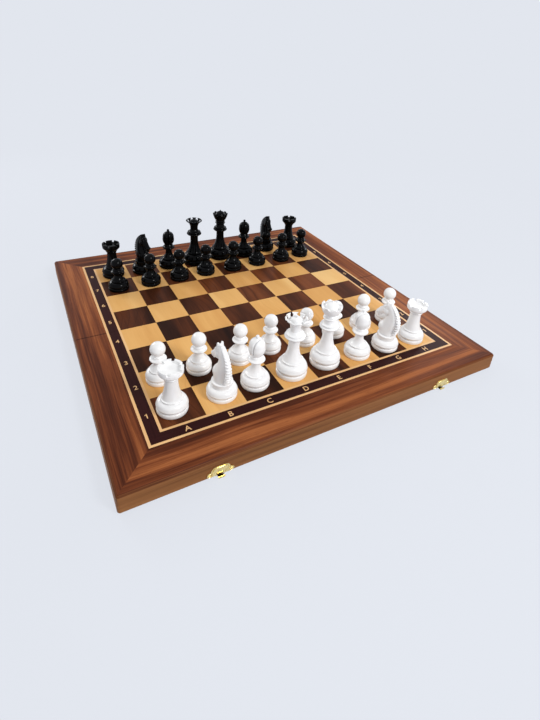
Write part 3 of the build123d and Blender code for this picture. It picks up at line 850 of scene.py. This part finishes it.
def sliced(slices):
    """A body through oval slices, each a ring bridged to the next."""
    shape = bmesh.new()
    rims = []
    for n, (y, z, depth, width, lean) in enumerate(slices):
        place = Matrix.Translation((0, y, z)) @ Matrix.Rotation(radians(lean), 4, "X")
        made = bmesh.ops.create_circle(
            shape, cap_ends=n in (0, len(slices) - 1), segments=16, radius=1.0,
            matrix=place @ Matrix.Diagonal((width, depth, 1.0, 1.0)),
        )
        edges = (edge for vert in made["verts"] for edge in vert.link_edges)
        rims.append(list(dict.fromkeys(edges)))
    for near, far in zip(rims, rims[1:]):
        bmesh.ops.bridge_loops(shape, edges=near + far)
    bmesh.ops.recalc_face_normals(shape, faces=shape.faces)
    return shape


def lump(place, size, turn=(0, 0, 0)):
    """A smooth egg-shaped swelling."""
    shape = bmesh.new()
    turned = Euler([radians(angle) for angle in turn]).to_matrix().to_4x4()
    bmesh.ops.create_icosphere(
        shape, subdivisions=3, radius=1.0,
        matrix=Matrix.Translation(place) @ turned @ Matrix.Diagonal((*size, 1.0)),
    )
    return shape


def along_crest(share):
    """A point on the curve down the back of the neck, and which way it faces."""
    last = len(CREST) - 1
    steps = share * last
    n = min(int(steps), last - 1)
    before, here, after, beyond = (
        Vector((0, *CREST[max(0, min(k, last))])) for k in (n - 1, n, n + 1, n + 2)
    )
    t = steps - n
    linear = after - before
    square = 2 * before - 5 * here + 4 * after - beyond
    cube = 3 * here - before - 3 * after + beyond
    point = 0.5 * (2 * here + linear * t + square * t**2 + cube * t**3)
    slope = 0.5 * (linear + 2 * square * t + 3 * cube * t**2)
    return point, slope.normalized()


def mane():
    """Overlapping ribs down the crest, wider towards the withers."""
    ribs, narrow, widening, sunk = 15, 2.9, 2.0, 2.0
    shapes = []
    for rib in range(ribs):
        share = (rib + 0.5) / ribs
        point, slope = along_crest(share)
        tilt = degrees(atan2(slope.y, -slope.z))
        size = (narrow + widening * share, 3.2, 1.45)
        shapes.append(lump(point + Vector((0, sunk, 0)), size, (-tilt, 0, 0)))
    return shapes


def ear(side):
    """One pricked ear, leaning outwards."""
    place, splay = (side * 2.3, 5.6, 64.4), radians(side * 6)
    shape = bmesh.new()
    bmesh.ops.create_cone(
        shape, cap_ends=True, segments=20, radius1=2.7, radius2=1.2, depth=6.8,
        matrix=Matrix.Translation(place) @ Matrix.Rotation(splay, 4, "Y"),
    )
    return shape


def horse():
    """The carved neck and head. Its swellings melt into it, and its eyes stand on it."""
    smooth = [("SUBSURF", {"levels": 3, "render_levels": 3})]
    breast = lump((0, 5.0, 29.8), (8.6, 8.4, 9.2))
    forelock = lump((0, 8.2, 61.8), (1.9, 3.2, 2.2), (-45, 0, 0))
    chin = lump((0, 15.4, 43.4), (2.7, 4.6, 1.8), (-43, 0, 0))
    forms = [modelled(sliced(NECK), smooth), modelled(sliced(HEAD), smooth)] + mane() + [breast]
    eyes = []
    for side in (-1, 1):
        cheek = lump((side * 3.2, 4.9, 53.2), (2.7, 4.8, 4.9), (43, 0, 0))
        brow = lump((side * 3.3, 8.6, 59.4), (1.8, 3.2, 1.4), (-43, 0, side * 10))
        nostril = lump((side * 2.4, 18.6, 46.8), (1.6, 2.0, 1.6), (30, 0, 0))
        forms += [cheek, brow, nostril, ear(side)]
        eyes.append(lump((side * 4.7, 8.4, 56.3), (0.9, 1.3, 1.1), (-40, 0, 0)))
    carved = modelled(gather(forms + [forelock, chin]), [
        ("REMESH", {"mode": "VOXEL", "voxel_size": 0.42}),
        ("SMOOTH", {"factor": 0.5, "iterations": 6}),
    ])
    return gather([carved] + eyes)


def knight():
    """A horse's head and neck on a turned plinth."""
    base, foot_rise, plinth, plinth_foot, plinth_top = 17.7, 0.92, 12.3, 13.9405, 21.0
    low = foot(base, foot_rise, FOOT)
    upper = [
        (plinth - 0.5, plinth_foot, 0.0),
        (plinth, plinth_top - 1.2, -0.2),
        (plinth - 0.5, plinth_top, 0.2),
        (0.0, plinth_top, 0.0),
    ]
    whole = gather([eased(lathe((0.0, 0.0), low + upper), 0.25), horse()])
    for face in whole.faces:
        face.smooth = True
    return whole


# How far knights and bishops are turned from looking straight across the board, in degrees.
FACING = {
    "white_knight_b": 6.0, "white_knight_g": 12.0, "black_knight_b": 22.0,
    "white_bishop_c": 16.0, "white_bishop_f": -19.0,
    "black_bishop_c": -126.0, "black_bishop_f": -141.0,
}
BACK_RANK = (
    ("rook_a", rook), ("knight_b", knight), ("bishop_c", bishop), ("queen", queen),
    ("king", king), ("bishop_f", bishop), ("knight_g", knight), ("rook_h", rook),
)


def standing_place(node):
    """The middle of a man's foot on the board."""
    points = [vert.co for vert in frame["nodes"][node].data.vertices]
    sole = [point for point in points if point.z < (BOARD_TOP + 0.1) * MM]
    sides = ([point[axis] for point in sole] for axis in (0, 1))
    middle = [(min(side) + max(side)) / 2 / MM for side in sides]
    return Matrix.Translation((*middle, BOARD_TOP))


def set_up_men():
    """Stands the men where their nodes stand, the black ones turned to face the white ones."""
    patterns = {
        maker: as_mesh(maker(), maker.__name__)
        for maker in (pawn, rook, knight, bishop, queen, king)
    }
    pawns = tuple((f"pawn_{file}", pawn) for file in "abcdefgh")
    for colour, facing in (("white", 0.0), ("black", pi)):
        for name, maker in BACK_RANK + pawns:
            node = f"{colour}_{name}"
            turn = Matrix.Rotation(facing + radians(FACING.get(node, 0.0)), 4, "Z")
            mesh = patterns[maker].copy()
            mesh.transform(Matrix.Scale(MM, 4) @ standing_place(node) @ turn)
            mesh.name = f"{node}_{'carved' if maker is knight else 'turned'}"
            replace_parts(joined_to(mesh, mesh.name, node, f"{colour}_plastic"), node)


# ---------------------------------------------------------------- joinery, floor, light, camera


def finish_nodes():
    """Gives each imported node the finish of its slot."""
    for entry in frame["record"]["subparts"]:
        for material_slot in frame["nodes"][entry["node"]].material_slots:
            material_slot.material = finish_for(entry["material_slot"])


# The rays for which the floor and the room show their colour and not their light.
SEEN_BY = ("Is Camera Ray", "Is Glossy Ray", "Is Transmission Ray")

# The boxes of light: (name, place, width and height, power in watts).
LIGHT_BOXES = (
    ("front_box", (0.47, -1.37, 1.13), (0.44, 0.44), 19.0),
    ("back_box", (-0.72, 1.42, 0.70), (0.70, 0.40), 9.5),
    ("right_box", (1.40, 0.70, 0.70), (0.50, 0.50), 4.0),
)


def lay_floor():
    """A pale floor that keeps the board's shadow near it and runs out evenly into the room."""
    floor_radius, near, far, near_clearness = 40.0, 0.45, 1.25, 0.86
    shape = bmesh.new()
    bmesh.ops.create_circle(shape, cap_ends=True, segments=96, radius=floor_radius)
    mesh = as_mesh(shape, "floor")
    floor = bpy.data.objects.new("floor", mesh)
    bpy.context.scene.collection.objects.link(floor)
    pale = shade(*BACKGROUND)
    finish = Finish("pale_floor", Roughness=1.0, Specular_IOR_Level=0.0, Base_Color=pale)
    looks = [finish.node("ShaderNodeLightPath", output=name) for name in SEEN_BY]
    seen = sum(looks[1:], looks[0]).held()
    away = (finish.x * finish.x + finish.y * finish.y) ** 0.5
    fading = finish.spread(away, near, far, near_clearness, 1.0)
    solid = Mark(finish, finish.shader.outputs[0])
    clear = finish.node("ShaderNodeBsdfTransparent")
    veil = finish.node("ShaderNodeMixShader", inputs={0: seen * fading, 1: solid, 2: clear})
    output = next(node for node in finish.tree.nodes if node.type == "OUTPUT_MATERIAL")
    finish.tree.links.new(veil.socket, output.inputs["Surface"])
    mesh.materials.append(finish.material)


def paint_room():
    """A room that lights the board evenly from all around, and looks as pale as the floor."""
    lit_strength = 0.45
    world = bpy.data.worlds.new("white_room")
    world.use_nodes = True
    bpy.context.scene.world = world
    tree = world.node_tree
    tree.nodes.clear()
    path = tree.nodes.new("ShaderNodeLightPath")
    seen = path.outputs[SEEN_BY[0]]
    for name in SEEN_BY[1:]:
        either = tree.nodes.new("ShaderNodeMath")
        either.operation = "MAXIMUM"
        tree.links.new(seen, either.inputs[0])
        tree.links.new(path.outputs[name], either.inputs[1])
        seen = either.outputs[0]
    mix = tree.nodes.new("ShaderNodeMixShader")
    tree.links.new(seen, mix.inputs[0])
    sides = ((1, (1.0, 1.0, 1.0, 1.0), lit_strength), (2, shade(*BACKGROUND), 1.0))
    for socket, colour, strength in sides:
        paint = tree.nodes.new("ShaderNodeBackground")
        paint.inputs["Color"].default_value = colour
        paint.inputs["Strength"].default_value = strength
        tree.links.new(paint.outputs[0], mix.inputs[socket])
    out = tree.nodes.new("ShaderNodeOutputWorld")
    tree.links.new(mix.outputs[0], out.inputs["Surface"])


def hang_lamps():
    """A broad lamp overhead, and a box of light at the front, the back and the right."""
    sun = bpy.data.lights.new("broad_lamp", "SUN")
    sun.energy = 0.30
    sun.angle = radians(50)
    holder = bpy.data.objects.new("broad_lamp", sun)
    holder.rotation_euler = Euler((radians(-20), radians(-16), 0))
    bpy.context.scene.collection.objects.link(holder)
    aim = Vector((0, 0, 0.05))
    for name, place, size, power in LIGHT_BOXES:
        lamp = bpy.data.lights.new(name, "AREA")
        lamp.shape = "RECTANGLE"
        lamp.size, lamp.size_y = size
        lamp.energy = power
        holder = bpy.data.objects.new(name, lamp)
        holder.location = place
        holder.visible_camera = False
        holder.rotation_euler = (Vector(place) - aim).to_track_quat("Z", "Y").to_euler()
        bpy.context.scene.collection.objects.link(holder)


def set_camera():
    """The camera, looking down on the near left corner."""
    place, turn = (-0.27652, -0.53171, 0.35868), (63.479, -3.608, -28.382)
    lens = bpy.data.cameras.new("camera")
    lens.sensor_fit = "HORIZONTAL"
    lens.sensor_width = 36.0
    lens.lens = 30.17
    lens.shift_x = 0.0005
    lens.shift_y = -0.1700
    lens.clip_start = 0.02
    camera = bpy.data.objects.new("camera", lens)
    camera.location = Vector(place) + Vector((0, 0, BOARD_TOP * MM))
    camera.rotation_euler = Euler([radians(angle) for angle in turn])
    bpy.context.scene.collection.objects.link(camera)
    bpy.context.scene.camera = camera


bpy.context.scene.view_settings.view_transform = "Standard"
set_camera()
finish_nodes()
write_lettering()
emboss_catches()
set_up_men()
lay_floor()
paint_room()
hang_lamps()
